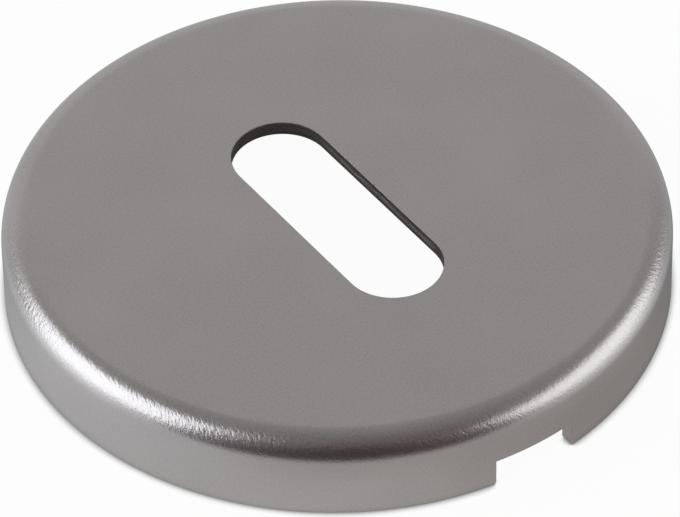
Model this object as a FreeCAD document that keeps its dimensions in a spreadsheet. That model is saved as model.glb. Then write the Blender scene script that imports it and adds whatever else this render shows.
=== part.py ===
import FreeCAD, Part

import enum
import math
import os

import Sketcher

# Round keyhole escutcheon
# One piece of aluminium sheet, drawn to a shallow round cup. A straight-sided slot with round ends is
# punched through the face for the key, and one rectangular notch in the skirt takes the tip of a flat
# screwdriver that prises the cover off its base ring.
# Frame: millimetres, origin at the centre of the rim, +Z out of the face, key slot along Y, notch
# towards -Y.

NODE = "escutcheon_cover"
FULL_TURN = 360
CUT_MARGIN = 0.1
TOLERANCE = 1e-6


# Driving dimensions, in millimetres

DIMENSIONS = {
    # Outside of the skirt
    "outer_diameter": 52.0,
    # From the rim to the outside of the face
    "cover_height": 7.2,
    # The same in the face, the bend and the skirt
    "sheet_thickness": 1.2,
    # Inside of the bend, as the draw punch's corner leaves it
    "bend_inner_radius": 0.8,
    # Key slot, end to end and side to side
    "slot_length": 22.8,
    "slot_width": 7.8,
    # Edge that the slot's punch rolls over, on the outside of the face
    "slot_edge_radius": 0.08,
    # Pry notch, side to side and from the rim up
    "notch_width": 7.0,
    "notch_height": 2.4,
    # Corners where the notch's sides turn into the rim
    "notch_mouth_radius": 0.3,
    # Deburred outline of the rim and the notch's sides
    "rim_edge_radius": 0.15,
}

document = FreeCAD.newDocument("KeyholeEscutcheon")
sheet = document.addObject("Spreadsheet::Sheet", "Sizes")
for row, (alias, millimetres) in enumerate(DIMENSIONS.items(), start=1):
    sheet.set(f"A{row}", alias)
    sheet.set(f"B{row}", str(millimetres))
    sheet.setAlias(f"B{row}", alias)
document.recompute()


# Helpers

class Spot(enum.IntEnum):
    """Where on a sketch's line or arc a constraint takes hold."""

    START = 1
    END = 2
    CENTRE = 3


class Datum(enum.IntEnum):
    """A sketch's own fixed lines; the start of the one across is the sketch's origin."""

    ACROSS = -1
    UPRIGHT = -2


def origin_plane(body, role):
    """Returns the body's own origin plane with the given role."""
    return next(item for item in body.Origin.OriginFeatures if item.Role == role)


def new_sketch(body, role, name):
    """Adds a sketch to the body, attached to one of the body's own origin planes."""
    sketch = body.newObject("Sketcher::SketchObject", name)
    sketch.AttachmentSupport = [(origin_plane(body, role), "")]
    sketch.MapMode = "FlatFace"
    return sketch


def point(across, up):
    """Returns a point in a sketch's own plane."""
    return FreeCAD.Vector(across, up, 0)


def add_line(sketch, start, end):
    """Adds a straight line to the sketch and returns its index."""
    return sketch.addGeometry(Part.LineSegment(start, end), False)


def add_arc(sketch, centre, radius, from_degrees, to_degrees):
    """Adds a counter-clockwise arc to the sketch and returns its index."""
    circle = Part.Circle(centre, FreeCAD.Vector(0, 0, 1), radius)
    arc = Part.ArcOfCircle(circle, math.radians(from_degrees), math.radians(to_degrees))
    return sketch.addGeometry(arc, False)


def constrain(sketch, *definition):
    """Adds one geometric constraint."""
    sketch.addConstraint(Sketcher.Constraint(*definition))


def dimension(sketch, name, expression, *definition):
    """Adds one dimension and ties it to the sheet."""
    index = sketch.addConstraint(Sketcher.Constraint(*definition))
    sketch.renameConstraint(index, name)
    sketch.setExpression("Constraints." + name, expression)


def edges_of(feature, belongs):
    """Returns the names of the feature's edges whose bounding box passes the test."""
    numbered = enumerate(feature.Shape.Edges, start=1)
    return ["Edge" + str(number) for number, edge in numbered if belongs(edge.BoundBox)]


def check_cut(before, after, expected):
    """Raises unless the cut took away about the volume that it should."""
    removed = before.Shape.Volume - after.Shape.Volume
    if abs(removed - expected) > CUT_MARGIN * expected:
        raise RuntimeError(f"{after.Name} took away {removed:.2f} mm3, not about {expected:.2f}")


# Drawn cup
# The section runs from the axis over the face, round the bend and down the skirt, and back inside. Both
# arcs of the bend share one centre, which keeps the sheet at one thickness all the way.

def draw_cup_section(sketch):
    """Draws the cup's half section in the X-Z plane."""
    radius = sheet.outer_diameter / 2
    height = sheet.cover_height
    thickness = sheet.sheet_thickness
    bend_inner = sheet.bend_inner_radius
    bend_outer = bend_inner + thickness
    centre = point(radius - bend_outer, height - bend_outer)

    face_top = add_line(sketch, point(0, height), point(centre.x, height))
    outer_bend = add_arc(sketch, centre, bend_outer, 0, 90)
    outer_wall = add_line(sketch, point(radius, centre.y), point(radius, 0))
    rim = add_line(sketch, point(radius, 0), point(radius - thickness, 0))
    inner_wall = add_line(sketch, point(radius - thickness, 0), point(radius - thickness, centre.y))
    inner_bend = add_arc(sketch, centre, bend_inner, 0, 90)
    face_bottom = add_line(sketch, point(centre.x, height - thickness), point(0, height - thickness))
    middle = add_line(sketch, point(0, height - thickness), point(0, height))

    constrain(sketch, "Tangent", face_top, Spot.END, outer_bend, Spot.END)
    constrain(sketch, "Tangent", outer_bend, Spot.START, outer_wall, Spot.START)
    constrain(sketch, "Coincident", outer_wall, Spot.END, rim, Spot.START)
    constrain(sketch, "Coincident", rim, Spot.END, inner_wall, Spot.START)
    constrain(sketch, "Tangent", inner_wall, Spot.END, inner_bend, Spot.START)
    constrain(sketch, "Tangent", inner_bend, Spot.END, face_bottom, Spot.START)
    constrain(sketch, "Coincident", face_bottom, Spot.END, middle, Spot.START)
    constrain(sketch, "Coincident", middle, Spot.END, face_top, Spot.START)
    constrain(sketch, "Coincident", outer_bend, Spot.CENTRE, inner_bend, Spot.CENTRE)
    for level in (face_top, rim, face_bottom):
        constrain(sketch, "Horizontal", level)
    for upright in (outer_wall, inner_wall, middle):
        constrain(sketch, "Vertical", upright)
    constrain(sketch, "PointOnObject", rim, Spot.START, Datum.ACROSS)
    constrain(sketch, "PointOnObject", middle, Spot.START, Datum.UPRIGHT)

    dimension(sketch, "outer_radius", "Sizes.outer_diameter / 2",
              "DistanceX", Datum.ACROSS, Spot.START, rim, Spot.START, radius)
    dimension(sketch, "cover_height", "Sizes.cover_height",
              "DistanceY", Datum.ACROSS, Spot.START, face_top, Spot.START, height)
    dimension(sketch, "sheet_thickness", "Sizes.sheet_thickness",
              "DistanceX", rim, Spot.END, rim, Spot.START, thickness)
    dimension(sketch, "bend_inner_radius", "Sizes.bend_inner_radius",
              "Radius", inner_bend, bend_inner)


cover = document.addObject("PartDesign::Body", "EscutcheonCover")
cover.Label = NODE

cup_section = new_sketch(cover, "XZ_Plane", "CupSection")
draw_cup_section(cup_section)
drawn_cup = cover.newObject("PartDesign::Revolution", "DrawnCup")
drawn_cup.Profile = cup_section
drawn_cup.ReferenceAxis = (cup_section, ["V_Axis"])
drawn_cup.Angle = FULL_TURN
document.recompute()


# Key slot
# Two straight sides and two half-circle ends, symmetric about the middle of the face. The sketch lies on
# the face's outside, and the cut goes down through the sheet.

def draw_key_slot(sketch):
    """Draws the key slot in a plane parallel to X-Y, long way along Y."""
    end_radius = sheet.slot_width / 2
    reach = (sheet.slot_length - sheet.slot_width) / 2

    far_end = add_arc(sketch, point(0, reach), end_radius, 0, 180)
    left_side = add_line(sketch, point(-end_radius, reach), point(-end_radius, -reach))
    near_end = add_arc(sketch, point(0, -reach), end_radius, 180, 360)
    right_side = add_line(sketch, point(end_radius, -reach), point(end_radius, reach))

    constrain(sketch, "Tangent", far_end, Spot.END, left_side, Spot.START)
    constrain(sketch, "Tangent", left_side, Spot.END, near_end, Spot.START)
    constrain(sketch, "Tangent", near_end, Spot.END, right_side, Spot.START)
    constrain(sketch, "Tangent", right_side, Spot.END, far_end, Spot.START)
    constrain(sketch, "Equal", far_end, near_end)
    constrain(sketch, "Symmetric", far_end, Spot.CENTRE, near_end, Spot.CENTRE, Datum.ACROSS, Spot.START)
    constrain(sketch, "PointOnObject", far_end, Spot.CENTRE, Datum.UPRIGHT)

    dimension(sketch, "end_radius", "Sizes.slot_width / 2",
              "Radius", far_end, end_radius)
    dimension(sketch, "centre_spacing", "Sizes.slot_length - Sizes.slot_width",
              "DistanceY", near_end, Spot.CENTRE, far_end, Spot.CENTRE, 2 * reach)


slot_outline = new_sketch(cover, "XY_Plane", "SlotOutline")
slot_outline.setExpression("AttachmentOffset.Base.z", "Sizes.cover_height")
draw_key_slot(slot_outline)
key_slot = cover.newObject("PartDesign::Pocket", "KeySlot")
key_slot.Profile = slot_outline
key_slot.Type = "ThroughAll"
document.recompute()

slot_straight = sheet.slot_length - sheet.slot_width
slot_area = slot_straight * sheet.slot_width + math.pi * (sheet.slot_width / 2) ** 2
check_cut(drawn_cup, key_slot, slot_area * sheet.sheet_thickness)


# Pry notch
# A rectangle open at the rim, cut from the middle plane outwards through the -Y side of the skirt only.

def draw_pry_notch(sketch):
    """Draws the notch in the X-Z plane, standing on the rim."""
    half_width = sheet.notch_width / 2
    top = sheet.notch_height

    bottom = add_line(sketch, point(-half_width, 0), point(half_width, 0))
    right_side = add_line(sketch, point(half_width, 0), point(half_width, top))
    roof = add_line(sketch, point(half_width, top), point(-half_width, top))
    left_side = add_line(sketch, point(-half_width, top), point(-half_width, 0))

    constrain(sketch, "Coincident", bottom, Spot.END, right_side, Spot.START)
    constrain(sketch, "Coincident", right_side, Spot.END, roof, Spot.START)
    constrain(sketch, "Coincident", roof, Spot.END, left_side, Spot.START)
    constrain(sketch, "Coincident", left_side, Spot.END, bottom, Spot.START)
    constrain(sketch, "Horizontal", bottom)
    constrain(sketch, "Horizontal", roof)
    constrain(sketch, "Vertical", right_side)
    constrain(sketch, "Vertical", left_side)
    constrain(sketch, "Symmetric", bottom, Spot.START, bottom, Spot.END, Datum.ACROSS, Spot.START)

    dimension(sketch, "notch_width", "Sizes.notch_width",
              "DistanceX", bottom, Spot.START, bottom, Spot.END, sheet.notch_width)
    dimension(sketch, "notch_height", "Sizes.notch_height",
              "DistanceY", bottom, Spot.END, right_side, Spot.END, top)


notch_outline = new_sketch(cover, "XZ_Plane", "NotchOutline")
draw_pry_notch(notch_outline)
pry_notch = cover.newObject("PartDesign::Pocket", "PryNotch")
pry_notch.Profile = notch_outline
pry_notch.Type = "ThroughAll"
pry_notch.Reversed = True
document.recompute()

notch_area = sheet.notch_width * sheet.notch_height
check_cut(key_slot, pry_notch, notch_area * sheet.sheet_thickness)


# Rolled and eased edges
# The punch rolls the face's edge over round the slot. The corners where the notch turns into the rim are
# eased first, so that the deburred edge can run round them without a break.

def is_slot_top_edge(box):
    """Tells the slot's edge on the outside of the face from the other edges."""
    on_face = box.ZMin > sheet.cover_height - TOLERANCE
    in_slot = box.YLength < sheet.slot_length and box.XLength < sheet.slot_length
    return on_face and in_slot


def is_notch_mouth_edge(box):
    """Tells the two edges where the notch's sides meet the rim from the other edges."""
    on_rim = box.ZMax < TOLERANCE
    at_side = abs(abs(box.Center.x) - sheet.notch_width / 2) < TOLERANCE
    return on_rim and at_side and box.XLength < TOLERANCE


def is_foot_edge(box):
    """Tells the skirt's lower outline, outside and inside, from the other edges."""
    starts_low = box.ZMin < sheet.notch_mouth_radius + TOLERANCE
    below_roof = box.ZMax < sheet.notch_height + TOLERANCE
    across_sheet = box.XLength < TOLERANCE and box.ZLength < TOLERANCE
    return starts_low and below_roof and not across_sheet


def round_edges(base, name, belongs, alias):
    """Adds a fillet over the base's edges that pass the test, with its radius from the sheet."""
    fillet = cover.newObject("PartDesign::Fillet", name)
    fillet.Base = (base, edges_of(base, belongs))
    fillet.setExpression("Radius", "Sizes." + alias)
    document.recompute()
    return fillet


rolled_slot = round_edges(pry_notch, "RolledSlotEdge", is_slot_top_edge, "slot_edge_radius")
eased_mouth = round_edges(rolled_slot, "EasedNotchMouth", is_notch_mouth_edge, "notch_mouth_radius")
deburred_foot = round_edges(eased_mouth, "DeburredFoot", is_foot_edge, "rim_edge_radius")
cover.Tip = deburred_foot
document.recompute()


# Checks and files

def check_document():
    """Raises if any object failed or the cover isn't one valid solid."""
    for item in document.Objects:
        if {"Invalid", "Error"} & set(item.State):
            raise RuntimeError(f"{item.Name} failed: {item.State}")
    for sketch in (cup_section, slot_outline, notch_outline):
        if sketch.solve() != 0 or not sketch.FullyConstrained:
            raise RuntimeError(f"{sketch.Name} is not fully constrained")
    shape = cover.Shape
    if shape.isNull() or not shape.isValid() or len(shape.Solids) != 1:
        raise RuntimeError(f"{cover.Label} is not one valid solid")


check_document()
os.makedirs("parts", exist_ok=True)
cover.Shape.exportStep(os.path.join("parts", cover.Label + ".step"))
extent = cover.Shape.optimalBoundingBox()
print(f"{cover.Label}: {extent.XLength:.2f} x {extent.YLength:.2f} x {extent.ZLength:.2f} mm, "
      f"{cover.Shape.Volume:.1f} mm3, {len(cover.Shape.Faces)} faces")
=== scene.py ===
"""Dresses the keyhole escutcheon: a drawn aluminium cover with a satin anodised finish.

The cover is modelled the way it is made. A flat round blank of sheet is laid out with its key slot and
its pry notch, all edges rolled or deburred, and a Geometry Nodes tree then draws that blank down into a
shallow cup. The finishes, the floor, the lamps and the camera follow.

Frame: metres, origin at the centre of the rim, +Z out of the face, key slot along Y, notch towards -Y.
"""
import logging
import math
from dataclasses import dataclass, field
from enum import IntEnum
from functools import reduce
from typing import Optional, Union

import bmesh
import bpy
from mathutils import Matrix, Quaternion, Vector


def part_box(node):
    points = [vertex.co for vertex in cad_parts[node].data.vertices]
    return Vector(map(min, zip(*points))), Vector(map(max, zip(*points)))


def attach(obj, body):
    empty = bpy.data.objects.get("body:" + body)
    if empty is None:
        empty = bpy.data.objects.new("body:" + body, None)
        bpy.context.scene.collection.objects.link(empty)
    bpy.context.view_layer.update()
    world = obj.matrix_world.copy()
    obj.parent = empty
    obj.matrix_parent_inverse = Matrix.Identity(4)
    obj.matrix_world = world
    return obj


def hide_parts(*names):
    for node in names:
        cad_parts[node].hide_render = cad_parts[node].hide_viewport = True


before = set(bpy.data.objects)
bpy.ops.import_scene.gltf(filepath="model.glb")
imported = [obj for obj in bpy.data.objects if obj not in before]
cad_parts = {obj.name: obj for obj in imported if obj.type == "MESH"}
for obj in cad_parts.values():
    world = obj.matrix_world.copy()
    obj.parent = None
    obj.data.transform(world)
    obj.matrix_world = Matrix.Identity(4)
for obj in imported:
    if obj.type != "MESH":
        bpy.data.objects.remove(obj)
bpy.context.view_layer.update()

LOG = logging.getLogger("escutcheon")
MM = 0.001
MICRON = 0.000001
COVER_NODE = "escutcheon_cover"
BODY = "root"
ZONE_ATTRIBUTE = "zone"
BLANK_ATTRIBUTE = "blank_place"
QUARTER = math.pi / 2.0

Pair = tuple[float, float]
Triple = tuple[float, float, float]
Change = tuple[Pair, Pair]
Vert = bmesh.types.BMVert
Ring = list[Vert]
Socket = bpy.types.NodeSocket
Feed = Union[Socket, float, Triple]
Feeds = dict[Union[int, str], Feed]

RISE: Pair = (0.0, 1.0)
FALL: Pair = (1.0, 0.0)
WHITE: Triple = (1.0, 1.0, 1.0)
LEVEL: Triple = (1.0, 1.0, 0.0)
NOISE_MEAN = 0.5


class Zone(IntEnum):
    """The surfaces of the cover that are finished in different ways."""

    OUTSIDE = 0
    SLOT_WALL = 1
    FOOT_EDGE = 2
    INSIDE = 3


class Side(IntEnum):
    """The two sides of the notch, with the sign of their place along X."""

    LEFT = -1
    RIGHT = 1


def smooth_step(value: float, low: float, high: float) -> float:
    """Returns a number that rises smoothly from 0, where the value is low, to 1, where it is high."""
    share = min(1.0, max(0.0, (value - low) / (high - low)))
    return share * share * (3.0 - 2.0 * share)


def evenly(start: float, end: float, steps: int) -> list[float]:
    """Lists evenly spaced numbers from start to end, both included."""
    return [start + (end - start) * step / steps for step in range(steps + 1)]


@dataclass(frozen=True)
class CoverSizes:
    """Real sizes of the cover, in metres.

    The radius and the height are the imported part's. The rest repeats the part's own named values.
    """

    radius: float
    height: float
    sheet: float = 1.2 * MM
    bend_inner: float = 0.8 * MM
    slot_length: float = 22.8 * MM
    slot_width: float = 7.8 * MM
    slot_roll: float = 0.08 * MM
    slot_burr: float = 0.05 * MM
    notch_width: float = 7.0 * MM
    notch_height: float = 2.4 * MM
    mouth_radius: float = 0.3 * MM
    deburr: float = 0.15 * MM

    @classmethod
    def from_frame(cls) -> "CoverSizes":
        """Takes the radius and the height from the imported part's box."""
        low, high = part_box(COVER_NODE)
        return cls(radius=(high[0] - low[0]) / 2.0, height=high[2] - low[2])

    @property
    def bend_outer(self) -> float:
        """Outside radius of the bend between the face and the skirt."""
        return self.bend_inner + self.sheet

    @property
    def face_radius(self) -> float:
        """Radius of the flat face, where the bend starts."""
        return self.radius - self.bend_outer

    @property
    def bend_end(self) -> float:
        """Radius in the flat blank where the bend ends and the skirt starts."""
        return self.face_radius + self.bend_outer * QUARTER

    @property
    def skirt_top(self) -> float:
        """Height above the rim where the bend ends and the straight skirt starts."""
        return self.height - self.bend_outer

    def developed(self, skirt_height: float) -> float:
        """Returns the radius in the flat blank of a place on the skirt at a height above the rim."""
        return self.bend_end + self.skirt_top - skirt_height


@dataclass
class Skin:
    """One face of the sheet: a grid of vertices from the slot to the foot, and its two mouth corners.

    A grid place that lies in the notch holds None.
    """

    grid: list[list[Optional[Vert]]]
    mouths: dict[Side, Ring]


@dataclass
class FlatBlank:
    """The flat blank, a closed mesh with its slot, its notch and its rounded edges.

    The outside of the sheet lies at z = 0 and the inside at minus its thickness. A place on the skirt is
    given by its angle from the notch's middle, its height above the rim and its depth in the sheet.
    """

    sizes: CoverSizes
    plain_columns: int = 344
    notch_columns: int = 14
    mouth_columns: int = 3
    mouth_rows: int = 3
    side_rows: int = 5
    skirt_rows: int = 7
    bend_rows: int = 24
    face_rows: int = 10
    edge_steps: int = 5
    foot_wall_rows: int = 3
    slot_wall_rows: int = 4
    support: float = 0.04 * MM
    bend_support: float = 0.25 * MM
    notch_edge_share: float = 0.5
    corner_margin: float = 0.12 * MM
    parallel_until: float = math.radians(12.0)
    radial_from: float = math.radians(25.0)
    mesh: bmesh.types.BMesh = field(default_factory=bmesh.new)

    def __post_init__(self) -> None:
        """Works out the columns and rows of the grid, and adds the layer that tells the finishes apart."""
        sizes = self.sizes
        self.zone = self.mesh.faces.layers.int.new(ZONE_ATTRIBUTE)
        self.edge_offset = sizes.deburr + self.support
        half_opening = sizes.notch_width / 2.0 + self.edge_offset
        half_corner = sizes.notch_width / 2.0 + sizes.mouth_radius + self.corner_margin
        corner_height = sizes.mouth_radius + self.corner_margin
        roof_height = sizes.notch_height + self.edge_offset
        left = evenly(-half_corner, -half_opening, self.mouth_columns)
        middle = evenly(-half_opening, half_opening, self.notch_columns)
        right = evenly(half_opening, half_corner, self.mouth_columns)
        near_notch = [self.angle_at(across) for across in left + middle[1:] + right[1:]]
        last = near_notch[-1]
        around = evenly(last, 2.0 * math.pi - last, self.plain_columns)
        self.angles = near_notch + around[1:-1]
        self.left_column = self.mouth_columns
        self.right_column = self.mouth_columns + self.notch_columns
        self.plain_column = len(near_notch) - 1
        self.side_heights = evenly(corner_height, roof_height, self.side_rows)[:-1]
        skirt = evenly(sizes.skirt_top - self.bend_support, roof_height, self.skirt_rows)
        mouth = evenly(corner_height, self.edge_offset, self.mouth_rows)
        heights = skirt + self.side_heights[::-1] + mouth[1:]
        bend = evenly(sizes.face_radius, sizes.bend_end, self.bend_rows)
        self.radii = bend + [sizes.developed(height) for height in heights]
        self.shares = evenly(0.0, 1.0, self.face_rows)
        self.roof_row = len(self.shares) + len(bend) + len(skirt) - 1
        self.mouth_row = self.roof_row + self.side_rows
        self.foot_row = self.mouth_row + self.mouth_rows

    @property
    def mouth_steps(self) -> int:
        """Number of steps round the corner of the notch's mouth."""
        return self.mouth_columns + self.mouth_rows - 2

    def angle_at(self, across: float) -> float:
        """Returns the angle from the notch's middle of a place along X on the skirt's outside."""
        return math.asin(across / self.sizes.radius)

    def angle_inside(self, angle: float, depth: float) -> float:
        """Turns an angle on the skirt's outside into the angle at a depth in the sheet.

        Near the notch its sides are parallel, because a straight punch cuts them, and further away a
        column of the mesh is radial.

        Args:
            angle: Angle from the notch's middle, on the outside.
            depth: Distance in from the outside of the sheet.

        Returns:
            The angle at that depth.
        """
        turned = math.remainder(angle, 2.0 * math.pi)
        weight = 1.0 - smooth_step(abs(turned), self.parallel_until, self.radial_from)
        if weight <= 0.0:
            return angle
        across = self.sizes.radius * math.sin(turned)
        parallel = math.asin(across / (self.sizes.radius - depth))
        return turned + weight * (parallel - turned)

    def ring_place(self, radius: float, angle: float, depth: float) -> Vector:
        """Returns a place of the blank by its radius, angle and depth."""
        turned = self.angle_inside(angle, depth)
        return Vector((radius * math.sin(turned), -radius * math.cos(turned), -depth))

    def slot_place(self, angle: float, offset: float, depth: float) -> Vector:
        """Finds a place beside the key slot's outline.

        Args:
            angle: Angle from the notch's middle of the ray that meets the outline.
            offset: Distance from the slot's wall into the sheet.
            depth: Distance in from the outside of the sheet.

        Returns:
            The place in the blank.
        """
        half_width = self.sizes.slot_width / 2.0
        reach = (self.sizes.slot_length - self.sizes.slot_width) / 2.0
        ray = Vector((math.sin(angle), -math.cos(angle)))
        if abs(ray.x) * reach >= abs(ray.y) * half_width:
            middle = Vector((0.0, ray.y * half_width / abs(ray.x)))
            normal = Vector((math.copysign(1.0, ray.x), 0.0))
        else:
            middle = Vector((0.0, math.copysign(reach, ray.y)))
            along = ray.dot(middle)
            distance = along + math.sqrt(along * along - reach * reach + half_width * half_width)
            normal = (ray * distance - middle).normalized()
        place = middle + normal * (half_width + offset)
        return Vector((place.x, place.y, -depth))

    def last_row(self, column: int) -> int:
        """Finds the last row of the grid that a column reaches before the notch cuts it off.

        Args:
            column: Number of the column.

        Returns:
            Number of the row.
        """
        if self.left_column < column < self.right_column:
            return self.roof_row
        if 0 < column < self.plain_column:
            return self.mouth_row
        return self.foot_row

    def mouth_line(self, offset: float) -> list[Pair]:
        """Lists the rounded corner of the notch's mouth, from the foot up, at a distance into the sheet.

        Args:
            offset: Distance into the sheet from the cut.

        Returns:
            Pairs of the place along X and the height above the rim.
        """
        sizes = self.sizes
        centre = sizes.notch_width / 2.0 + sizes.mouth_radius
        radius = sizes.mouth_radius - offset
        return [(centre - radius * math.sin(turn), sizes.mouth_radius - radius * math.cos(turn))
                for turn in evenly(0.0, QUARTER, self.mouth_steps)]

    def face(self, zone: Zone, *corners: Vert) -> None:
        """Adds a face of a zone, with repeated corners left out."""
        self.mesh.faces.new(list(dict.fromkeys(corners)))[self.zone] = zone

    def bridge(self, zone: Zone, first: Ring, second: Ring) -> None:
        """Joins two closed rings of as many vertices each.

        Args:
            zone: Finish of the new faces.
            first: One ring.
            second: The ring beside it.
        """
        for here in range(len(first)):
            after = (here + 1) % len(first)
            self.face(zone, first[here], first[after], second[after], second[here])

    def build_skin(self, zone: Zone, depth: float, slot_offset: float) -> Skin:
        """Makes one face of the sheet, without its edges.

        Args:
            zone: Finish of this face.
            depth: Distance in from the outside of the sheet.
            slot_offset: Distance from the slot's wall to the first row.

        Returns:
            The vertices that the edges join.
        """
        mesh = self.mesh
        flat_end = self.sizes.face_radius - self.bend_support
        grid: list[list[Optional[Vert]]] = []
        for share in self.shares:
            places = [self.slot_place(angle, slot_offset, depth).lerp(
                self.ring_place(flat_end, angle, depth), share) for angle in self.angles]
            grid.append([mesh.verts.new(place) for place in places])
        for radius in self.radii:
            row = len(grid)
            grid.append([mesh.verts.new(self.ring_place(radius, angle, depth))
                         if row <= self.last_row(column) else None
                         for column, angle in enumerate(self.angles)])
        for row in range(len(grid) - 1):
            for column in range(len(self.angles)):
                beside = (column + 1) % len(self.angles)
                if row < min(self.last_row(column), self.last_row(beside)):
                    self.face(zone, grid[row][column], grid[row][beside],
                              grid[row + 1][beside], grid[row + 1][column])
        skin = Skin(grid, {})
        for side in Side:
            line = self.mouth_line(self.edge_offset)
            skin.mouths[side] = [mesh.verts.new(self.ring_place(
                self.sizes.developed(height), self.angle_at(side * across), depth))
                for across, height in line]
            self.fill_mouth(zone, skin, side)
        return skin

    def fill_mouth(self, zone: Zone, skin: Skin, side: Side) -> None:
        """Fills the corner between the grid and the rounded mouth of the notch.

        Args:
            zone: Finish of this face of the sheet.
            skin: The face of the sheet that has the corner.
            side: Side of the notch that the corner is on.
        """
        outer = 0 if side is Side.LEFT else self.plain_column
        inner = self.left_column if side is Side.LEFT else self.right_column
        upward = [skin.grid[row][outer] for row in range(self.foot_row, self.mouth_row - 1, -1)]
        step = 1 if inner > outer else -1
        inward = [skin.grid[self.mouth_row][column] for column in range(outer, inner + step, step)]
        corner = upward + inward[1:]
        line = [corner[0]] + skin.mouths[side] + [corner[-1]]
        for index in range(len(corner) - 1):
            self.face(zone, line[index], line[index + 1], corner[index + 1], corner[index])

    def skin_edge(self, skin: Skin) -> Ring:
        """Lists the vertices of one face of the sheet along its foot and round the notch.

        Args:
            skin: The face of the sheet.

        Returns:
            The closed ring.
        """
        grid = skin.grid
        foot = grid[self.foot_row][self.plain_column:] + grid[self.foot_row][:1]
        roof = grid[self.roof_row][self.left_column:self.right_column + 1]
        sides = range(self.mouth_row, self.roof_row, -1)
        left = skin.mouths[Side.LEFT] + [grid[row][self.left_column] for row in sides]
        right = skin.mouths[Side.RIGHT] + [grid[row][self.right_column] for row in sides]
        return foot + left + roof + right[::-1]

    def cut_edge(self, offset: float, depth: float) -> Ring:
        """Adds one ring of vertices of the cut edge, along the foot and round the notch.

        Args:
            offset: Distance into the sheet from the cut, at the foot.
            depth: Distance in from the outside of the sheet, at the foot.

        Returns:
            The ring, in the order of skin_edge.
        """
        sizes = self.sizes
        far = depth > sizes.sheet / 2.0

        def vertex(angle: float, height: float, share: float) -> Vert:
            """Adds a vertex, with the rounding of the edge reduced to a share of the foot's."""
            inward = sizes.sheet - (sizes.sheet - depth) * share if far else depth * share
            return self.mesh.verts.new(self.ring_place(sizes.developed(height), angle, inward))

        def beside(side: Side) -> Ring:
            """Adds the mouth and one side of the notch.

            Args:
                side: Which side of the notch.

            Returns:
                The vertices from the foot up.
            """
            shares = evenly(1.0, self.notch_edge_share, self.mouth_steps)
            ring = []
            for step, share in enumerate(shares):
                across, height = self.mouth_line(offset * share)[step]
                ring.append(vertex(self.angle_at(side * across), height, share))
            angle = self.angle_at(side * (sizes.notch_width / 2.0 + offset * shares[-1]))
            return ring + [vertex(angle, height, shares[-1]) for height in self.side_heights]

        share = self.notch_edge_share
        roof_height = sizes.notch_height + offset * share
        half = self.angle_at(sizes.notch_width / 2.0 + offset * share)
        inside = self.angles[self.left_column + 1:self.right_column]
        foot = [vertex(angle, offset, 1.0) for angle in self.angles[self.plain_column:] + self.angles[:1]]
        left = beside(Side.LEFT)
        roof = [vertex(angle, roof_height, share) for angle in [-half] + inside + [half]]
        return foot + left + roof + beside(Side.RIGHT)[::-1]

    def rounded(self, radius: float) -> list[Pair]:
        """Lists the offset and the depth along an edge that is rounded by a radius."""
        return [(radius * (1.0 - math.sin(turn)), radius * (1.0 - math.cos(turn)))
                for turn in evenly(0.0, QUARTER, self.edge_steps)]

    def section(self, upper: float, lower: float, rows: int) -> list[Pair]:
        """Lists the offset and the depth along a cut edge, from the sheet's outside to its inside.

        Args:
            upper: Radius of the edge on the outside.
            lower: Radius of the edge on the inside.
            rows: Number of steps on the flat wall between them.

        Returns:
            Pairs of the distance into the sheet from the cut, and the depth.
        """
        sheet = self.sizes.sheet
        depths = evenly(upper + self.support, sheet - lower - self.support, rows)
        turned = [(offset, sheet - depth) for offset, depth in reversed(self.rounded(lower))]
        return self.rounded(upper) + [(0.0, depth) for depth in depths] + turned

    def close_edge(self, rings: list[Ring], wall: Zone, below: Zone) -> None:
        """Closes the sheet along one of its edges.

        Args:
            rings: The rings from the sheet's outside to its inside. The outside's finish reaches
                halfway round the first rounding.
            wall: Finish of the cut itself.
            below: Finish from halfway round the last rounding.
        """
        half = self.edge_steps // 2 + 1
        zones = [Zone.OUTSIDE] * half + [wall] * (len(rings) - 1 - 2 * half) + [below] * half
        for zone, first, second in zip(zones, rings, rings[1:]):
            self.bridge(zone, first, second)

    def build(self) -> bpy.types.Mesh:
        """Makes the closed blank.

        Returns:
            The flat mesh, with its faces pointing outwards.
        """
        sizes = self.sizes
        outside = self.build_skin(Zone.OUTSIDE, 0.0, sizes.slot_roll + self.support)
        inside = self.build_skin(Zone.INSIDE, sizes.sheet, sizes.slot_burr + self.support)
        foot = self.section(sizes.deburr, sizes.deburr, self.foot_wall_rows)
        foot_rings = [self.cut_edge(offset, depth) for offset, depth in foot]
        self.close_edge([self.skin_edge(outside), *foot_rings, self.skin_edge(inside)],
                        Zone.FOOT_EDGE, Zone.INSIDE)
        slot = self.section(sizes.slot_roll, sizes.slot_burr, self.slot_wall_rows)
        slot_rings = [[self.mesh.verts.new(self.slot_place(angle, offset, depth)) for angle in self.angles]
                      for offset, depth in slot]
        self.close_edge([outside.grid[0], *slot_rings, inside.grid[0]], Zone.SLOT_WALL, Zone.SLOT_WALL)
        bmesh.ops.recalc_face_normals(self.mesh, faces=self.mesh.faces)
        flat = bpy.data.meshes.new("flat_blank")
        self.mesh.to_mesh(flat)
        self.mesh.free()
        return flat


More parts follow.
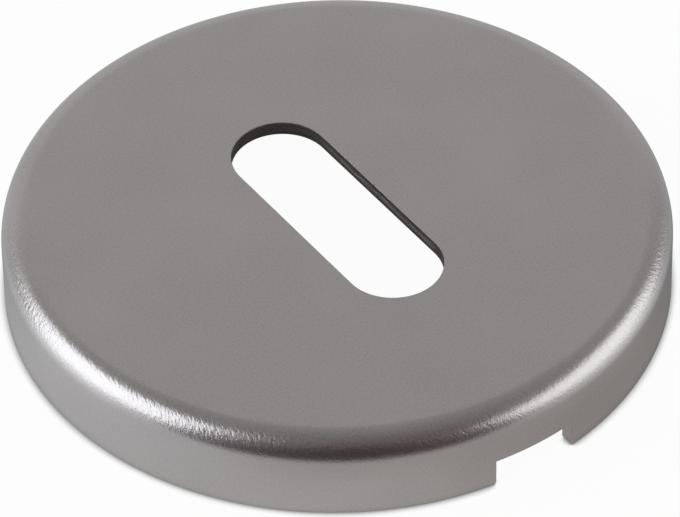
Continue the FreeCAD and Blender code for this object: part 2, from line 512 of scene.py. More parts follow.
class NodeBench:
    """Places and links the nodes of one tree."""

    def __init__(self, tree: bpy.types.NodeTree) -> None:
        """Starts with a tree that has no nodes."""
        self.tree = tree
        tree.nodes.clear()

    def feed(self, socket: Socket, value: Feed) -> None:
        """Links an input to another socket, or sets its own value.

        Args:
            socket: The input.
            value: The other socket or the plain value. A colour is given without its opacity.
        """
        if isinstance(value, Socket):
            self.tree.links.new(value, socket)
        elif socket.type == "RGBA":
            socket.default_value = (*value, 1.0)
        else:
            socket.default_value = value

    def add(self, kind: str, feeds: Optional[Feeds] = None, **settings: object) -> bpy.types.Node:
        """Adds a node.

        Args:
            kind: Type name of the node.
            feeds: What goes into its inputs, by their names or places.
            settings: Values of its own properties.

        Returns:
            The new node.
        """
        node = self.tree.nodes.new(kind)
        for name, value in settings.items():
            setattr(node, name, value)
        for key, value in (feeds or {}).items():
            self.feed(node.inputs[key], value)
        return node

    def math(self, operation: str, *feeds: Feed) -> Socket:
        """Adds a sum on numbers and returns its result."""
        return self.add("ShaderNodeMath", dict(enumerate(feeds)), operation=operation).outputs[0]

    def product(self, *factors: Feed) -> Socket:
        """Multiplies two or more numbers."""
        return reduce(lambda result, factor: self.math("MULTIPLY", result, factor), factors)

    def rest(self, share: Feed) -> Socket:
        """Returns what a share leaves of 1."""
        return self.math("SUBTRACT", 1.0, share)

    def weighed(self, first: Socket, second: Socket, share: float) -> Socket:
        """Returns two patterns added together, with the share that the second one has."""
        return self.math("ADD", self.product(first, 1.0 - share), self.product(second, share))

    def vector(self, operation: str, *feeds: Feed) -> Socket:
        """Adds a sum on vectors and returns its result, a vector."""
        node = self.add("ShaderNodeVectorMath", dict(enumerate(feeds)), operation=operation)
        return node.outputs["Vector"]

    def scaled(self, vector: Feed, factor: Feed) -> Socket:
        """Returns a vector times a number."""
        feeds = {0: vector, "Scale": factor}
        return self.add("ShaderNodeVectorMath", feeds, operation="SCALE").outputs["Vector"]

    def length(self, vector: Socket) -> Socket:
        """Returns the length of a vector."""
        return self.add("ShaderNodeVectorMath", {0: vector}, operation="LENGTH").outputs["Value"]

    def along(self, vector: Socket, direction: Vector) -> Socket:
        """Returns how far a vector reaches along a fixed direction."""
        feeds = {0: vector, 1: tuple(direction)}
        return self.add("ShaderNodeVectorMath", feeds, operation="DOT_PRODUCT").outputs["Value"]

    def separate(self, vector: Socket) -> tuple[Socket, ...]:
        """Returns the three parts of a vector."""
        return tuple(self.add("ShaderNodeSeparateXYZ", {0: vector}).outputs)

    def combine(self, *parts: Feed) -> Socket:
        """Returns the vector made of three parts."""
        return self.add("ShaderNodeCombineXYZ", dict(enumerate(parts))).outputs[0]

    def polar(self, place: Socket) -> tuple[Socket, Socket]:
        """Returns a place's distance from the cover's axis, and the level unit vector away from it."""
        level = self.vector("MULTIPLY", place, LEVEL)
        return self.length(level), self.vector("NORMALIZE", level)

    def wound(self, around: Socket, radius: Socket, size: float) -> Socket:
        """Returns where a pattern round the axis is read, with the size of its features along the radius."""
        east, north, _ = self.separate(around)
        return self.combine(east, north, self.math("DIVIDE", radius, size))

    def ramp(self, value: Socket, source: Pair, target: Pair = RISE, kind: str = "LINEAR") -> Socket:
        """Maps a number from the source's range onto the target's, and holds the target's ends."""
        feeds = dict(enumerate((value, *source, *target)))
        return self.add("ShaderNodeMapRange", feeds, interpolation_type=kind, clamp=True).outputs[0]

    def ease(self, value: Socket, source: Pair, target: Pair = RISE) -> Socket:
        """Maps a number as ramp does, but eases in and out."""
        return self.ramp(value, source, target, "SMOOTHSTEP")

    def mix(self, share: Socket, first: Feed, second: Triple, blend: str = "MIX") -> Socket:
        """Returns the first colour with a share of the second one, mixed or blended in another way."""
        feeds = {0: share, 6: first, 7: second}
        return self.add("ShaderNodeMix", feeds, data_type="RGBA", blend_type=blend).outputs[2]

    def noise(self, place: Socket, size: float, detail: float = 2.0, roughness: float = 0.5,
              twist: float = 0.0) -> Socket:
        """Returns the height, from about 0.2 to 0.8, of a noise pattern with features of a size."""
        feeds = {"Vector": place, "Scale": 1.0 / size, "Detail": detail, "Roughness": roughness,
                 "Distortion": twist}
        return self.add("ShaderNodeTexNoise", feeds, noise_dimensions="3D").outputs[0]

    def bump(self, height: Socket, depth: Feed, below: Optional[Socket] = None) -> Socket:
        """Adds a relief.

        Args:
            height: Height of the relief, from 0 to 1.
            depth: What a height of 1 measures, in metres.
            below: The normal of a relief that this one lies on.

        Returns:
            The normal of the relief.
        """
        feeds: Feeds = {"Strength": 1.0, "Distance": depth, "Height": height}
        if below is not None:
            feeds["Normal"] = below
        return self.add("ShaderNodeBump", feeds).outputs[0]


def start_material(name: str) -> tuple[bpy.types.Material, NodeBench]:
    """Starts a material.

    Args:
        name: The material's name.

    Returns:
        The material, and the bench of its empty tree.
    """
    material = bpy.data.materials.new(name)
    material.use_nodes = True
    return material, NodeBench(material.node_tree)


@dataclass(frozen=True)
class Pattern:
    """What a finish draws: the share of its light tone, what its gloss follows, its grain and relief."""

    tone: Socket
    gloss: Socket
    grain: Socket
    relief: Socket


@dataclass(frozen=True)
class Metal:
    """What every finish of the cover shares: a metal whose grain, tone and gloss vary."""

    name: str
    light_tone: Triple
    dark_tone: Triple
    roughness: Pair
    grain_size: float
    grain_depth: float
    gloss_spread: Pair = (0.3, 0.7)
    fine_layers: float = 3.0
    fine_strength: float = 0.6

    def fine_noise(self, bench: NodeBench, place: Socket, size: float) -> Socket:
        """Returns a noise pattern with strong fine layers."""
        return bench.noise(place, size, self.fine_layers, self.fine_strength)

    def pattern(self, bench: NodeBench, place: Socket, sizes: CoverSizes) -> Pattern:
        """Draws the finish by the place in the flat blank. Each finish has its own way."""
        raise NotImplementedError

    def build(self, sizes: CoverSizes) -> bpy.types.Material:
        """Makes the material.

        Args:
            sizes: The cover's sizes, which say where the bend lies.

        Returns:
            The material.
        """
        material, bench = start_material(self.name)
        place = bench.add("ShaderNodeAttribute", attribute_name=BLANK_ATTRIBUTE).outputs["Vector"]
        drawn = self.pattern(bench, place, sizes)
        shader = bench.add("ShaderNodeBsdfPrincipled", {
            "Metallic": 1.0, "Base Color": bench.mix(drawn.tone, self.dark_tone, self.light_tone),
            "Roughness": bench.ramp(drawn.gloss, self.gloss_spread, self.roughness),
            "Normal": bench.bump(drawn.grain, self.grain_depth, drawn.relief)})
        bench.add("ShaderNodeOutputMaterial", {"Surface": shader.outputs[0]})
        return material


@dataclass(frozen=True)
class SatinAnodised(Metal):
    """The outside: fine matt grain all over, and the coarser peel that drawing leaves in the bend.

    A change has a span and the levels at its ends. Those from the face and to the skirt are told from the
    radius in the blank where the one or the other meets the bend.
    """

    tone_spread: Pair = (0.35, 0.65)
    cloud_size: float = 9.0 * MM
    cloud_layers: float = 3.0
    cloud_share: float = 0.3
    peel_across: float = 0.27 * MM
    peel_along: float = 0.36 * MM
    peel_depth: float = 27.0 * MICRON
    peel_layers: float = 0.0
    peel_twist: float = 0.7
    peel_slant: float = 0.5
    peel_from_face: Change = ((-0.2 * MM, 1.8 * MM), RISE)
    peel_to_skirt: Change = ((-1.4 * MM, 0.0), (1.0, 0.3))
    rolling: Change = ((0.1, 0.85), (0.5, 1.0))
    grit_size: float = 0.13 * MM
    grit_layers: float = 1.0
    grit_on_face: float = 0.35
    grit_down_bend: Change = ((-1.885 * MM, -0.5 * MM), (0.5, 1.0))
    grit_to_skirt: Change = ((-0.2 * MM, 0.7 * MM), (15.0 * MICRON, 1.5 * MICRON))
    mottle: float = 2.4

    def pattern(self, bench: NodeBench, place: Socket, sizes: CoverSizes) -> Pattern:
        """Draws the grain, the clouds in its tone, and the peel and the grit of the bend.

        Args:
            bench: The bench of the material's tree.
            place: The place in the flat blank.
            sizes: The cover's sizes, which say where the bend lies.

        Returns:
            The drawn pattern.
        """
        radius, outward = bench.polar(place)
        grain = self.fine_noise(bench, place, self.grain_size)
        clouds = bench.noise(place, self.cloud_size, self.cloud_layers)
        specks = bench.weighed(grain, clouds, self.cloud_share)
        across, _, _ = bench.separate(outward)
        rolling = bench.ramp(bench.math("ABSOLUTE", across), *self.rolling)
        past_face = bench.math("SUBTRACT", radius, sizes.face_radius)
        past_bend = bench.math("SUBTRACT", radius, sizes.bend_end)
        turned = bench.add("ShaderNodeVectorRotate", {
            "Vector": bench.scaled(outward, sizes.radius / self.peel_across),
            "Angle": bench.product(past_face, -self.peel_slant / sizes.radius)}, rotation_type="Z_AXIS")
        winding = bench.wound(turned.outputs[0], radius, self.peel_along)
        peel = bench.noise(winding, 1.0, self.peel_layers, twist=self.peel_twist)
        start = bench.ease(past_face, *self.peel_from_face)
        in_bend = bench.product(start, bench.ease(past_bend, *self.peel_to_skirt))
        drawn = bench.bump(peel, bench.product(in_bend, rolling, self.peel_depth))
        grit = bench.noise(place, self.grit_size, self.grit_layers)
        mottled = bench.product(bench.math("SUBTRACT", grit, NOISE_MEAN), in_bend, self.mottle)
        face_share = bench.math("MULTIPLY_ADD", start, 1.0 - self.grit_on_face, self.grit_on_face)
        depth = bench.product(face_share, bench.ease(past_bend, *self.grit_down_bend),
                              bench.ease(past_bend, *self.grit_to_skirt))
        tone = bench.math("ADD", bench.ramp(specks, self.tone_spread), mottled)
        return Pattern(tone, specks, grain, bench.bump(grit, depth, drawn))


@dataclass(frozen=True)
class ShearedEdge(Metal):
    """A cut edge: torn bands along the sheet, and on a slot's straight sides a brighter, burnished band.

    The band is told by its depth in the sheet, and the straight sides by their reach along the slot.
    Outside the band the tone drops to a share of it: the duller torn metal, and on the slot's wall also
    painted shade of the slot's dark inside.
    """

    tone_spread: Pair = (0.41, 0.62)
    band_size: float = 0.15 * MM
    band_depth: float = 6.0 * MICRON
    band_stretch: float = 0.08
    band_share: float = 0.5
    torn_and_shade_share: float = 0.2
    burnish_from: Change = ((0.36 * MM, 0.56 * MM), RISE)
    burnish_to: Change = ((0.72 * MM, 0.90 * MM), FALL)
    straight_until: Change = ((6.6 * MM, 8.2 * MM), FALL)
    waviness: float = 0.4 * MM

    def pattern(self, bench: NodeBench, place: Socket, sizes: CoverSizes) -> Pattern:
        """Draws the torn bands and the wavy burnished one.

        Args:
            bench: The bench of the material's tree.
            place: The place in the flat blank.
            sizes: The cover's sizes, which these bands don't follow.

        Returns:
            The drawn pattern.
        """
        stretched = bench.vector("MULTIPLY", place, (self.band_stretch, self.band_stretch, 1.0))
        bands = self.fine_noise(bench, stretched, self.band_size)
        grain = bench.noise(place, self.grain_size)
        mixed = bench.weighed(grain, bands, self.band_share)
        _, along, level = bench.separate(place)
        depth = bench.math("MULTIPLY_ADD", bench.math("SUBTRACT", bands, NOISE_MEAN), self.waviness,
                           bench.math("ABSOLUTE", level))
        burnished = bench.product(bench.ease(depth, *self.burnish_from), bench.ease(depth, *self.burnish_to),
                                  bench.ease(bench.math("ABSOLUTE", along), *self.straight_until))
        # Outside the burnished band the tone falls to the torn share: partly duller torn metal, partly
        # painted shade of the slot's inside.
        bright = bench.math("MULTIPLY_ADD", burnished, 1.0 - self.torn_and_shade_share, self.torn_and_shade_share)
        tone = bench.product(bench.ramp(mixed, self.tone_spread), bright)
        return Pattern(tone, mixed, grain, bench.bump(bands, self.band_depth))


@dataclass(frozen=True)
class PlainInside(Metal):
    """The inside: matt sheet with faint rolled lines, and drawing marks round the bend and down the skirt.

    The marks' changes are told from the radius in the blank where the face meets the bend.
    """

    tone_spread: Pair = (0.32, 0.68)
    grain_share: float = 0.6
    mark_size: float = 0.5 * MM
    mark_stretch: float = 8.0
    mark_tone: Change = ((-2.0 * MM, 0.5 * MM), RISE)
    mark_depth: Change = ((-1.0 * MM, 1.0 * MM), (0.0, 3.0 * MICRON))
    line_size: float = 0.35 * MM
    line_stretch: float = 0.05

    def pattern(self, bench: NodeBench, place: Socket, sizes: CoverSizes) -> Pattern:
        """Draws the rolled lines of the face and the drawing marks further out.

        Args:
            bench: The bench of the material's tree.
            place: The place in the flat blank.
            sizes: The cover's sizes, which say where the bend starts.

        Returns:
            The drawn pattern.
        """
        radius, outward = bench.polar(place)
        grain = self.fine_noise(bench, place, self.grain_size)
        around = bench.scaled(outward, sizes.radius / self.mark_size)
        marks = bench.noise(bench.wound(around, radius, self.mark_stretch * self.mark_size), 1.0)
        lines = bench.noise(bench.vector("MULTIPLY", place, (1.0, self.line_stretch, 1.0)), self.line_size)
        past_face = bench.math("SUBTRACT", radius, sizes.face_radius)
        worked = bench.ease(past_face, *self.mark_tone)
        worn = bench.math("MULTIPLY_ADD", bench.math("SUBTRACT", marks, lines), worked, lines)
        mixed = bench.weighed(worn, grain, self.grain_share)
        relief = bench.bump(marks, bench.ease(past_face, *self.mark_depth))
        return Pattern(bench.ramp(mixed, self.tone_spread), mixed, grain, relief)


@dataclass
class DrawnCover:
    """The cover itself: the blank, the tree that draws it into a cup, and its four finishes."""

    sizes: CoverSizes
    outside: SatinAnodised = SatinAnodised(
        name="satin_anodised", light_tone=(0.499, 0.469, 0.461), dark_tone=(0.421, 0.395, 0.389),
        roughness=(0.25, 0.34), grain_size=0.2 * MM, grain_depth=3.75 * MICRON)
    # The slot wall's dark tones and low torn share are partly painted shade of the slot's inside; this finish
    # also lays that painted shade over the inner half of the slot's roll, dimming its highlight.
    slot_wall: ShearedEdge = ShearedEdge(
        name="sheared_slot_wall", light_tone=(0.72, 0.65, 0.615), dark_tone=(0.13, 0.113, 0.106),
        roughness=(0.42, 0.62), grain_size=0.1 * MM, grain_depth=4.0 * MICRON)
    foot_edge: ShearedEdge = ShearedEdge(
        name="deburred_foot_edge", light_tone=(0.60, 0.57, 0.555), dark_tone=(0.44, 0.415, 0.405),
        roughness=(0.38, 0.52), grain_size=0.1 * MM, grain_depth=2.0 * MICRON, torn_and_shade_share=1.0)
    inside: PlainInside = PlainInside(
        name="plain_inside", light_tone=(0.44, 0.42, 0.408), dark_tone=(0.324, 0.311, 0.30),
        roughness=(0.4, 0.52), grain_size=0.2 * MM, grain_depth=1.5 * MICRON)
    crease_angle: float = math.radians(32.0)

    def dress(self, bench: NodeBench, geometry: Socket) -> Socket:
        """Gives each zone of the cover its finish.

        Args:
            bench: The bench of the drawing tree.
            geometry: The bare cup.

        Returns:
            The dressed cup.
        """
        finishes = {Zone.OUTSIDE: self.outside, Zone.SLOT_WALL: self.slot_wall,
                    Zone.FOOT_EDGE: self.foot_edge, Zone.INSIDE: self.inside}
        named = bench.add("GeometryNodeInputNamedAttribute", {"Name": ZONE_ATTRIBUTE}, data_type="INT")
        for zone, finish in finishes.items():
            chosen = bench.add("FunctionNodeCompare", data_type="INT", operation="EQUAL")
            bench.feed(chosen.inputs[2], named.outputs[0])
            bench.feed(chosen.inputs[3], int(zone))
            dressed = bench.add("GeometryNodeSetMaterial", {
                "Geometry": geometry, "Selection": chosen.outputs[0], "Material": finish.build(self.sizes)})
            geometry = dressed.outputs[0]
        return geometry

    def draw_tree(self) -> bpy.types.NodeTree:
        """Builds the tree that draws the flat blank down into a cup and gives each zone its finish.

        A place within the face stays where it is. Beyond it the sheet first winds round the bend, and
        then goes straight down.

        Returns:
            The tree, with inputs Face Radius, Bend Radius and Height.
        """
        tree = bpy.data.node_groups.new("draw_cup", "GeometryNodeTree")
        bench = NodeBench(tree)
        tree.interface.new_socket("Geometry", in_out="INPUT", socket_type="NodeSocketGeometry")
        for name in ("Face Radius", "Bend Radius", "Height"):
            tree.interface.new_socket(name, in_out="INPUT", socket_type="NodeSocketFloat")
        tree.interface.new_socket("Geometry", in_out="OUTPUT", socket_type="NodeSocketGeometry")
        blank, face, bend, height, _ = bench.add("NodeGroupInput").outputs
        place = bench.add("GeometryNodeInputPosition").outputs[0]
        kept = bench.add("GeometryNodeStoreNamedAttribute", {"Geometry": blank, "Name": BLANK_ATTRIBUTE},
                         data_type="FLOAT_VECTOR", domain="POINT")
        bench.feed(kept.inputs["Value"], place)
        _, _, level = bench.separate(place)
        radius, outward = bench.polar(place)
        over = bench.math("MAXIMUM", bench.math("SUBTRACT", radius, face), 0.0)
        arc = bench.math("MINIMUM", over, bench.product(bend, QUARTER))
        turn = bench.math("DIVIDE", arc, bend)
        reach = bench.math("ADD", bend, level)
        out = bench.math("MULTIPLY_ADD", reach, bench.math("SINE", turn), bench.math("MINIMUM", radius, face))
        down = bench.math("SUBTRACT", over, arc)
        centre = bench.math("SUBTRACT", bench.math("SUBTRACT", height, bend), down)
        up = bench.math("MULTIPLY_ADD", reach, bench.math("COSINE", turn), centre)
        formed = bench.vector("ADD", bench.scaled(outward, out), bench.combine(0.0, 0.0, up))
        cup = bench.add("GeometryNodeSetPosition", {"Geometry": kept.outputs[0], "Position": formed})
        smooth = bench.add("GeometryNodeSetShadeSmooth", {"Geometry": cup.outputs[0]})
        whole = bench.add("GeometryNodeRealizeInstances", {0: smooth.outputs[0]})
        bench.add("NodeGroupOutput", {0: self.dress(bench, whole.outputs[0])})
        return tree

    def build(self) -> bpy.types.Object:
        """Makes the finished cover.

        Returns:
            The cover's object, at the origin, with a plain mesh.
        """
        flat = FlatBlank(self.sizes).build()
        piece = bpy.data.objects.new("drawn_cover", flat)
        bpy.context.scene.collection.objects.link(piece)
        draw = piece.modifiers.new("draw", "NODES")
        draw.node_group = self.draw_tree()
        values = {"Face Radius": self.sizes.face_radius, "Bend Radius": self.sizes.bend_outer,
                  "Height": self.sizes.height}
        for item in draw.node_group.interface.items_tree:
            if item.in_out == "INPUT" and item.name in values:
                draw[item.identifier] = values[item.name]
        evaluated = piece.evaluated_get(bpy.context.evaluated_depsgraph_get())
        mesh = bpy.data.meshes.new_from_object(evaluated)
        piece.modifiers.remove(draw)
        piece.data = mesh
        mesh.name = "drawn_cover"
        bpy.data.meshes.remove(flat)
        mesh.set_sharp_from_angle(angle=self.crease_angle)
        return piece


@dataclass(frozen=True)
class ViewingPlace:
    """The photograph's viewing angle, with directions round the object told from it."""

    distance: float = 0.5
    elevation: float = math.radians(42.917)
    azimuth: float = math.radians(-34.496)
    roll: float = math.radians(-0.992)
    lens: float = 339.35
    sensor: float = 36.0
    aside: float = 0.167 * MM
    above: float = 1.431 * MM

    @property
    def right(self) -> Vector:
        """Level direction to the right of the view."""
        return Vector((math.cos(self.azimuth), math.sin(self.azimuth), 0.0))

    @property
    def near(self) -> Vector:
        """Level direction from the object to the camera."""
        return Vector((math.sin(self.azimuth), -math.cos(self.azimuth), 0.0))

    def direction(self, aside: float, elevation: float) -> Vector:
        """Finds a direction from the object.

        Args:
            aside: Angle to the right of the camera, in degrees.
            elevation: Angle above the floor, in degrees.

        Returns:
            The unit vector.
        """
        turn = math.radians(aside)
        rise = math.radians(elevation)
        level = self.near * math.cos(turn) + self.right * math.sin(turn)
        return level * math.cos(rise) + Vector((0.0, 0.0, math.sin(rise)))

    def build(self) -> bpy.types.Object:
        """Makes the camera and puts it in place.

        Returns:
            The camera.
        """
        back = self.near * math.cos(self.elevation) + Vector((0.0, 0.0, math.sin(self.elevation)))
        level_up = back.cross(self.right)
        right = self.right * math.cos(self.roll) + level_up * math.sin(self.roll)
        up = level_up * math.cos(self.roll) - self.right * math.sin(self.roll)
        place = right * self.aside + up * self.above + back * self.distance
        data = bpy.data.cameras.new("camera")
        data.sensor_fit = "HORIZONTAL"
        data.sensor_width = self.sensor
        data.lens = self.lens
        camera = bpy.data.objects.new("camera", data)
        camera.matrix_world = Matrix.Translation(place) @ Matrix((right, up, back)).transposed().to_4x4()
        bpy.context.scene.collection.objects.link(camera)
        bpy.context.scene.camera = camera
        return camera


@dataclass(frozen=True)
class Placed:
    """A part of the setting that is placed by directions told from the view."""

    view: ViewingPlace = field(default=ViewingPlace(), kw_only=True)


@dataclass(frozen=True)
class Softbox(Placed):
    """A rectangular lamp beside the object, placed by the directions of its edges as the object sees them.

    Directions are in degrees: aside of the camera, and above the floor.
    """

    name: str
    aside: Pair
    elevation: Pair
    radiance: float
    colour: Triple
    tilt: float
    distance: float = 0.6

    def build(self) -> bpy.types.Object:
        """Makes the lamp.

        Returns:
            The lamp, which faces the object.
        """
        middle = self.view.direction(sum(self.aside) / 2.0, sum(self.elevation) / 2.0)
        lamp = bpy.data.lights.new(self.name, "AREA")
        lamp.shape = "RECTANGLE"
        lamp.size, lamp.size_y = (2.0 * self.distance * math.tan(math.radians(end - start) / 2.0)
                                  for start, end in (self.aside, self.elevation))
        lamp.energy = math.pi * lamp.size * lamp.size_y * self.radiance
        lamp.color = self.colour
        box = bpy.data.objects.new(self.name, lamp)
        box.location = middle * self.distance
        facing = middle.to_track_quat("Z", "Y") @ Quaternion((0.0, 0.0, 1.0), math.radians(self.tilt))
        box.rotation_euler = facing.to_euler()
        box.visible_camera = False
        bpy.context.scene.collection.objects.link(box)
        return box


@dataclass(frozen=True)
class FloorSpot:
    """A place on the floor: to the right of the view, near to it, and from the cover's axis."""

    aside: Socket
    near: Socket
    radius: Socket


@dataclass(frozen=True)
class PaleFloor(Placed):
    """The floor: pale glossy paint, white to the camera but for a contact shadow.

    Close to the cover the metal mirrors a glow of the floor, a painted reflection that is no lamp: brighter
    outward, with painted shade under the cover, beyond it, to the right and toward the camera, where the
    painted shade is reddish too. Further out it mirrors the paint. The contact shadow is painted from
    ambient occlusion.
    """

    half: float = 2.0
    tone: Triple = (0.82, 0.815, 0.81)
    white: float = 0.96
    gloss: float = 0.15
    specular: float = 0.2
    mirrored_level: float = 0.72
    outward: Change = ((28.0 * MM, 34.0 * MM), RISE)
    outward_gain: Change = ((17.0 * MM, 27.0 * MM), (0.38, 0.0))
    beyond: Change = ((-5.0 * MM, 13.0 * MM), (0.54, 1.0))
    rightward: Change = ((-4.0 * MM, 31.0 * MM), (1.0, 0.5))
    side_fade: Change = ((27.5 * MM, 35.0 * MM), (1.0, 0.55))
    far_out: Change = ((34.0 * MM, 42.0 * MM), (0.0, 0.3))
    far_beyond: Change = ((-12.0 * MM, -1.0 * MM), FALL)
    painted_shade_under_cover: Change = ((20.5 * MM, 24.5 * MM), (0.34, 1.0))
    near_shade: Change = ((28.5 * MM, 41.4 * MM), (1.0, 0.14))
    painted_shade_tint: Triple = (0.0, -0.28, -0.26)
    cool_tint: Triple = (-0.04, -0.003, 0.03)
    cool_left: Change = ((-20.0 * MM, 20.0 * MM), (1.0, -1.0))
    cool_beyond: Change = ((-2.0 * MM, 8.0 * MM), (1.0, -1.0))
    cool_outward: Change = ((29.0 * MM, 35.0 * MM), (-1.0, 0.4))
    cool_strength: Change = ((26.0 * MM, 33.0 * MM), (0.5, 1.0))
    bare_paint: Change = ((42.0 * MM, 90.0 * MM), (1.0, 0.12))
    contact_reach: float = 1.2 * MM
    contact_samples: int = 8
    contact_seen: Change = ((0.48, 0.68), (0.35, 1.0))
    contact_mirrored: Change = ((0.48, 0.68), (0.6, 1.0))

    def mirrored(self, bench: NodeBench, spot: FloorSpot) -> Socket:
        """Works out how bright the floor is where the metal mirrors it close to the cover.

        Args:
            bench: The bench of the floor's tree.
            spot: The place on the floor.

        Returns:
            The level, before the shade toward the camera.
        """
        # Painted reflection: the glow is brighter outward, and painted shade dims it beyond the cover, to the
        # right, far out beyond it and under the cover.
        gain = bench.ease(spot.near, *self.outward_gain)
        outward = bench.math("MULTIPLY_ADD", bench.ease(spot.radius, *self.outward), gain, 1.0)
        lit = bench.product(bench.ease(spot.near, *self.beyond), bench.ease(spot.aside, *self.rightward))
        dim = bench.product(bench.rest(lit), bench.ease(spot.radius, *self.side_fade))
        far = bench.product(bench.ease(spot.radius, *self.far_out), bench.ease(spot.near, *self.far_beyond))
        under = bench.ease(spot.radius, *self.painted_shade_under_cover)
        return bench.product(outward, bench.rest(dim), bench.rest(far), under, self.mirrored_level)

    def tint(self, bench: NodeBench, spot: FloorSpot, glossy: Socket, shade: Socket) -> Socket:
        """Works out the floor's tint: red in the shade toward the camera, and cool to the left and beyond.

        Args:
            bench: The bench of the floor's tree.
            spot: The place on the floor.
            glossy: Whether the metal mirrors it.
            shade: What the shade toward the camera leaves.

        Returns:
            The tint that colours are multiplied by, white to all but the metal: the colour of the painted
            reflection, red in the painted shade toward the camera.
        """
        # Painted reflection colour: cool to the left and beyond, and reddish in the painted shade toward the
        # camera.
        aside = bench.math("MAXIMUM", bench.ramp(spot.aside, *self.cool_left),
                           bench.ramp(spot.near, *self.cool_beyond))
        cool = bench.math("MAXIMUM", aside, bench.ramp(spot.radius, *self.cool_outward))
        strength = bench.product(cool, glossy, bench.ramp(spot.radius, *self.cool_strength))
        cooled = bench.vector("MULTIPLY_ADD", self.cool_tint, strength, WHITE)
        return bench.vector("MULTIPLY_ADD", self.painted_shade_tint, bench.product(glossy, bench.rest(shade)), cooled)

    def finish(self) -> bpy.types.Material:
        """Makes the floor's material.

        Returns:
            The material.
        """
        material, bench = start_material("pale_floor")
        path = bench.add("ShaderNodeLightPath").outputs
        glossy = path["Is Glossy Ray"]
        place = bench.add("ShaderNodeTexCoord").outputs["Object"]
        spot = FloorSpot(bench.along(place, self.view.right), bench.along(place, self.view.near),
                         bench.length(place))
        shade = bench.ease(spot.near, *self.near_shade)
        tint = self.tint(bench, spot, glossy, shade)
        # To the metal the paint carries painted shade toward the camera, and close to the cover it gives way
        # to the glow.
        share = bench.ease(spot.radius, *self.bare_paint)
        bare = bench.product(bench.rest(share), shade)
        painted = bench.math("MULTIPLY_ADD", glossy, bench.math("SUBTRACT", bare, 1.0), 1.0)
        paint = bench.add("ShaderNodeBsdfPrincipled", {
            "Base Color": bench.scaled(bench.vector("MULTIPLY", tint, self.tone), painted),
            "Roughness": self.gloss, "Specular IOR Level": self.specular})
        # Painted contact shadow: the white the camera sees is dimmed where ambient occlusion finds the cover
        # close by.
        open_sky = bench.add("ShaderNodeAmbientOcclusion", {"Distance": self.contact_reach},
                             samples=self.contact_samples).outputs["AO"]
        white = bench.add("ShaderNodeEmission", {"Strength": bench.ramp(open_sky, *self.contact_seen)})
        seen = bench.math("MAXIMUM", path["Is Camera Ray"], path["Is Transmission Ray"])
        plain = bench.add("ShaderNodeMixShader", {
            0: bench.product(seen, self.white), 1: paint.outputs[0], 2: white.outputs[0]})
        # Painted reflection: a glow that only the metal sees, with painted shade and a painted contact shadow
        # from ambient occlusion.
        strength = bench.product(glossy, self.mirrored(bench, spot), shade, share,
                                 bench.ramp(open_sky, *self.contact_mirrored))
        glow = bench.add("ShaderNodeEmission", {"Color": tint, "Strength": strength})
        total = bench.add("ShaderNodeAddShader", {0: plain.outputs[0], 1: glow.outputs[0]})
        bench.add("ShaderNodeOutputMaterial", {"Surface": total.outputs[0]})
        return material

    def build(self) -> bpy.types.Object:
        """Makes the floor, a level sheet that the rim stands on.

        Returns:
            The floor.
        """
        corners = [(x * self.half, y * self.half, 0.0) for x, y in ((-1, -1), (1, -1), (1, 1), (-1, 1))]
        mesh = bpy.data.meshes.new("floor")
        mesh.from_pydata(corners, [], [(0, 1, 2, 3)])
        mesh.materials.append(self.finish())
        floor = bpy.data.objects.new("floor", mesh)
        bpy.context.scene.collection.objects.link(floor)
        return floor


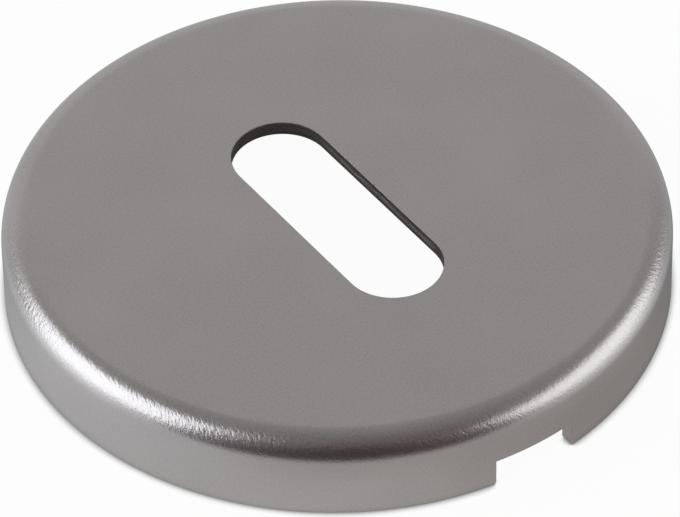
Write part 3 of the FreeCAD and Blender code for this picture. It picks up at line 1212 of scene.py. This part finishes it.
@dataclass(frozen=True)
class DimRoom(Placed):
    """The room's light: dim and reddish on the camera's side, brighter overhead, brightest beyond.

    A change follows the cosine of the angle to a side. Sides are in degrees, as a softbox's are.
    """

    walls: Change = ((-1.0, -0.7), (0.088, 0.24))
    ceiling: Change = ((-0.5, 0.75), (0.0, 0.23))
    glow: Change = ((0.58, 0.84), (0.0, 0.22))
    glow_side: Pair = (192.0, 0.0)
    near_tone: Triple = (1.0, 0.925, 0.93)
    near_share: Change = ((-0.6, 0.2), FALL)
    warm_tone: Triple = (0.84, 0.69, 0.695)
    warm_share: Change = ((0.8, 0.96), RISE)
    warm_side: Pair = (20.0, 28.0)

    def build(self) -> bpy.types.World:
        """Makes the world.

        Returns:
            The world, which the camera sees as white.
        """
        world = bpy.data.worlds.new("room")
        world.use_nodes = True
        bench = NodeBench(world.node_tree)
        toward = bench.add("ShaderNodeTexCoord").outputs["Generated"]
        beyond = bench.along(toward, -self.view.near)
        to_glow = bench.along(toward, self.view.direction(*self.glow_side))
        to_warm = bench.along(toward, self.view.direction(*self.warm_side))
        tone = bench.mix(bench.ease(beyond, *self.near_share), WHITE, self.near_tone)
        tone = bench.mix(bench.ease(to_warm, *self.warm_share), tone, self.warm_tone, "MULTIPLY")
        overhead = bench.math("ADD", bench.ease(beyond, *self.walls), bench.ramp(beyond, *self.ceiling))
        strength = bench.math("ADD", bench.ease(to_glow, *self.glow), overhead)
        dim = bench.add("ShaderNodeBackground", {"Color": tone, "Strength": strength})
        white = bench.add("ShaderNodeBackground", {"Color": WHITE, "Strength": 1.0})
        camera = bench.add("ShaderNodeLightPath").outputs["Is Camera Ray"]
        mixed = bench.add("ShaderNodeMixShader", {0: camera, 1: dim.outputs[0], 2: white.outputs[0]})
        bench.add("ShaderNodeOutputWorld", {"Surface": mixed.outputs[0]})
        bpy.context.scene.world = world
        return world


@dataclass(frozen=True)
class Studio:
    """The whole setting: the camera, the pale floor, the room's dim light and the two softboxes."""

    camera: ViewingPlace = ViewingPlace()
    floor: PaleFloor = PaleFloor()
    room: DimRoom = DimRoom()
    left: Softbox = Softbox("left_softbox", (-110.0, -50.0), (0.0, 52.0), 2.15,
                            colour=(0.935, 0.995, 1.045), tilt=7.0)
    right: Softbox = Softbox("right_softbox", (52.0, 115.0), (-3.0, 37.8), 1.57,
                             colour=(0.965, 1.005, 1.025), tilt=12.0)

    def build(self) -> None:
        """Makes all that stands round the cover."""
        bpy.context.scene.view_settings.view_transform = "Standard"
        for part in (self.camera, self.floor, self.room, self.left, self.right):
            part.build()


def main() -> None:
    """Builds the cover and its setting."""
    logging.basicConfig(level=logging.INFO, format="%(name)s: %(message)s")
    Studio().build()
    cover = DrawnCover(CoverSizes.from_frame()).build()
    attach(cover, BODY)
    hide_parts(COVER_NODE)
    LOG.info("%s: %d faces, finishes %s", cover.name, len(cover.data.polygons),
             [material.name for material in cover.data.materials if material])


if __name__ == "__main__":
    main()
